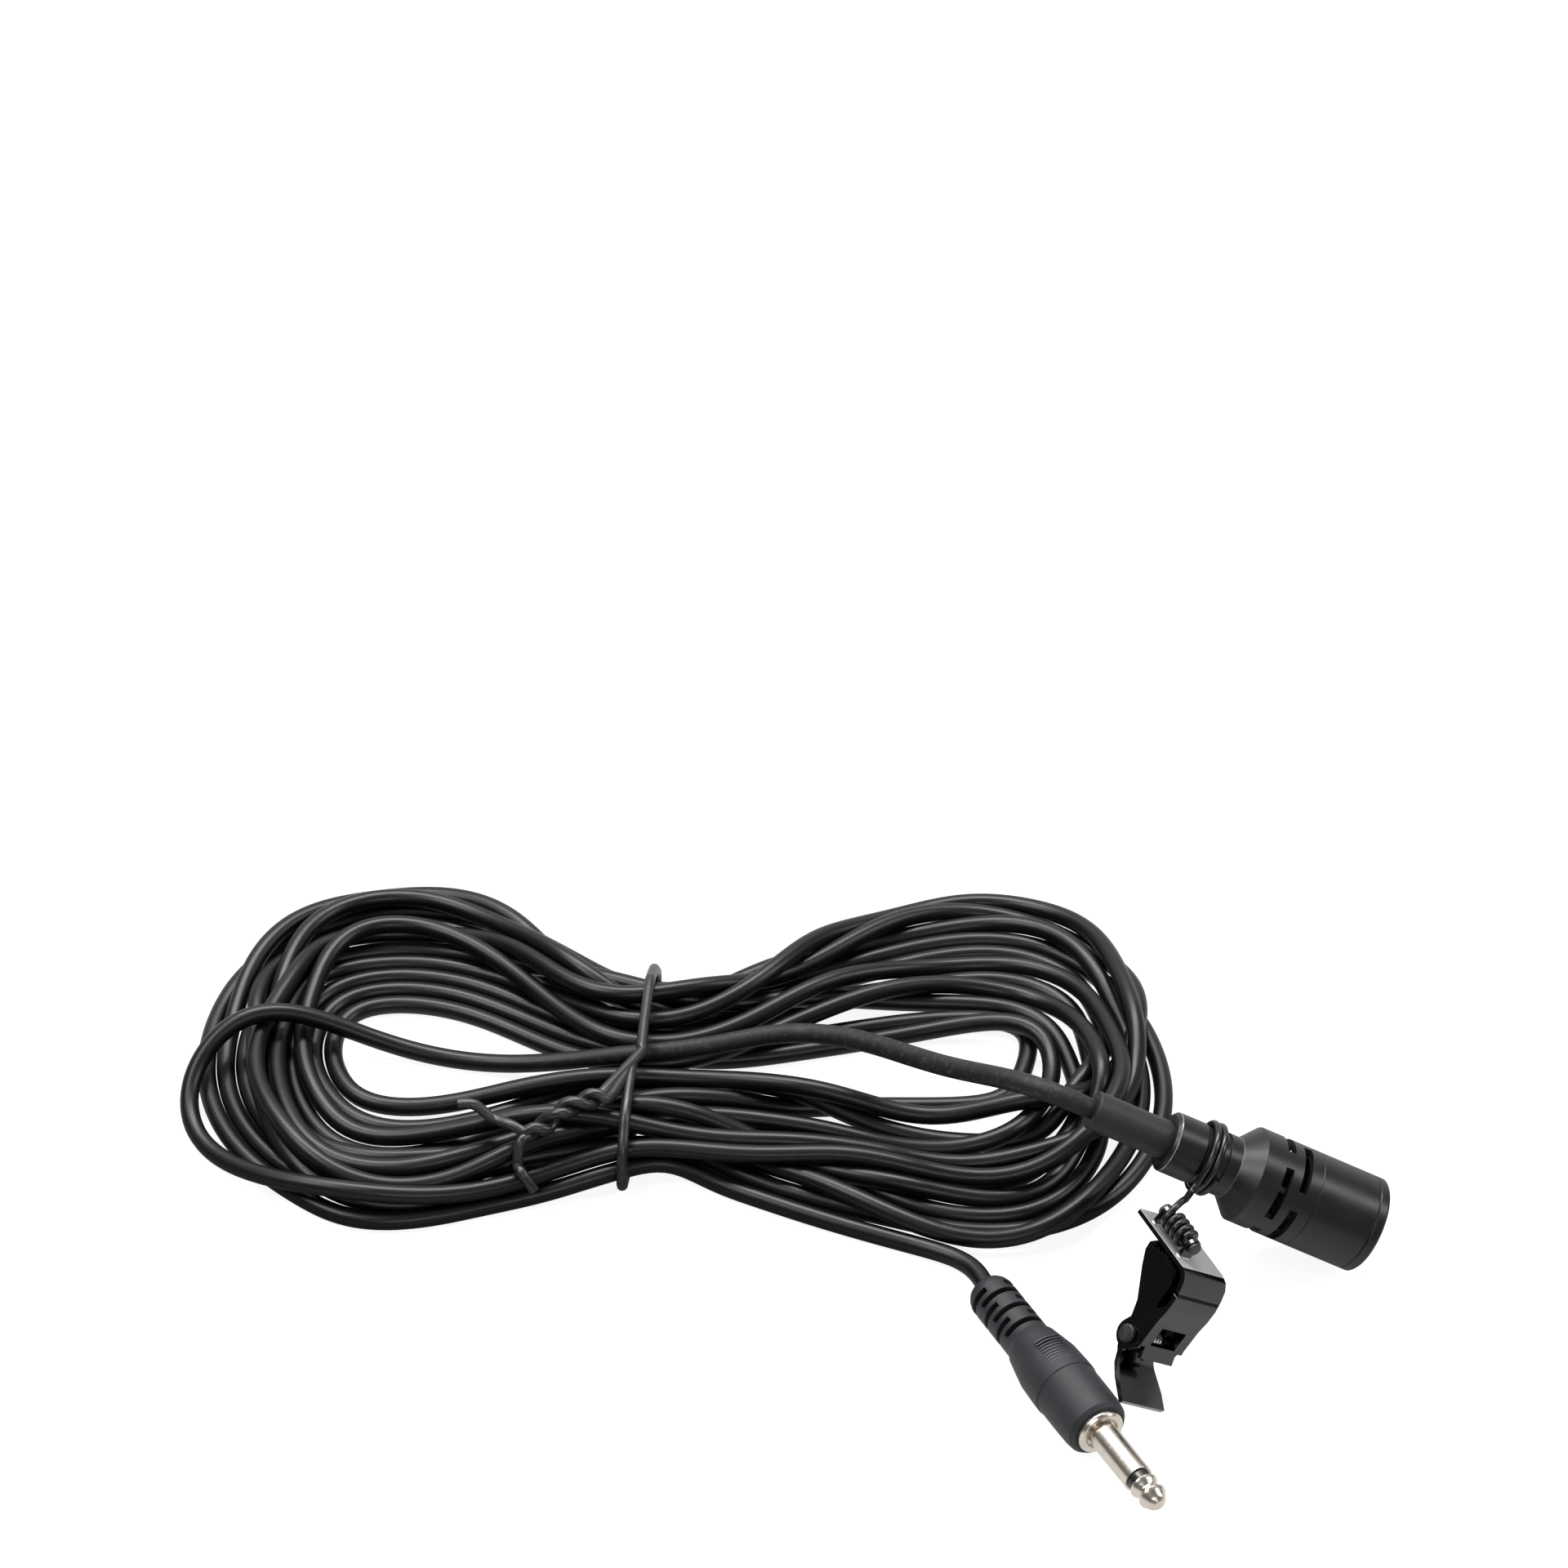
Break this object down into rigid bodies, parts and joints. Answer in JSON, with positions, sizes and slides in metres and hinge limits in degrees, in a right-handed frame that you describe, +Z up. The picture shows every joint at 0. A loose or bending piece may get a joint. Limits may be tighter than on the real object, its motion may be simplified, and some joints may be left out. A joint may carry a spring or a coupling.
{
  "type": "lavalier microphone",
  "caption": "Tie-clip lavalier microphone with slotted metal head, wire ring and sprung tie clip, and a tied hank of lead ending in a moulded 3.5 mm plug.",
  "frame": {"origin": "middle, seen from above, of the box round the microphone, its wire ring and its tie clip, at the height of the surface that they lie on", "axes": "+Z up from the surface, +X the way the microphone's nose points, seen from above and to within 6 degrees, +Y from the plug towards the hank's far side"},
  "size_m": [0.1477, 0.1008, 0.0245],
  "materials": {
    "mic_metal": "anodised satin black",
    "capsule_metal": "plain",
    "ferrule_metal": "plain",
    "grille_metal": "matt black",
    "cloth": "fine woven",
    "circuit_board": "green solder mask",
    "holder_rubber": "soft",
    "wire_insulation": "plain",
    "shrink_sleeve": "matt shrunk sleeve",
    "lead_jacket": "satin PVC",
    "ring_steel": "black oxide wire",
    "clip_steel": "glossy black enamel",
    "pin_steel": "black oxide",
    "spring_steel": "drawn wire",
    "plug_pvc": "moulded soft PVC",
    "plug_plating": "bright nickel",
    "insulator_plastic": "moulded",
    "tie_wire": "covered wire"
  },
  "bodies": {
    "microphone": {"mic_housing": "mic_metal", "gland_nut": "mic_metal", "strain_relief": "shrink_sleeve", "cable_end": "lead_jacket", "cable_ferrule": "ferrule_metal", "lead_wires": "wire_insulation", "head_barrel": "mic_metal", "front_bezel": "mic_metal", "front_grille": "grille_metal", "wind_cloth": "cloth", "capsule_can": "capsule_metal", "capsule_felt": "cloth", "capsule_board": "circuit_board", "capsule_holder": "holder_rubber", "cord_mic_end": "lead_jacket", "cord_hank": "lead_jacket", "cord_plug_end": "lead_jacket", "twist_tie": "tie_wire", "plug_grip": "plug_pvc", "plug_collar": "plug_plating", "plug_sleeve": "plug_plating", "plug_insulator": "insulator_plastic", "plug_tip": "plug_plating"},
    "ring": {"ring_wire": "ring_steel"},
    "clip": {"clip_outer_jaw": "clip_steel", "clip_swivel_pin": "pin_steel", "clip_hinge_pin": "pin_steel", "clip_spring": "spring_steel"},
    "inner_jaw": {"clip_inner_jaw": "clip_steel"}
  },
  "joints": [
    {"name": "ring_turn", "type": "hinge", "parent": "microphone", "child": "ring", "pos_m": [-0.00362, 0.01226, 0.01484], "axis": [0.8939, -0.094, -0.4384], "range_deg": [-200, 45]},
    {"name": "clip_swivel", "type": "hinge", "parent": "ring", "child": "clip", "pos_m": [-0.00814, -0.00219, 0.01843], "axis": [0.4541, -0.8901, -0.0395], "range_deg": [0, 30]},
    {"name": "jaw_open", "type": "hinge", "parent": "clip", "child": "inner_jaw", "pos_m": [-0.01137, -0.00965, 0.00751], "axis": [-0.6601, -0.3659, 0.6561], "range_deg": [0, 28], "stiffness_Nm_per_rad": 0.05, "springref_deg": -20.05, "deforming": ["clip_spring"]}
  ]
}
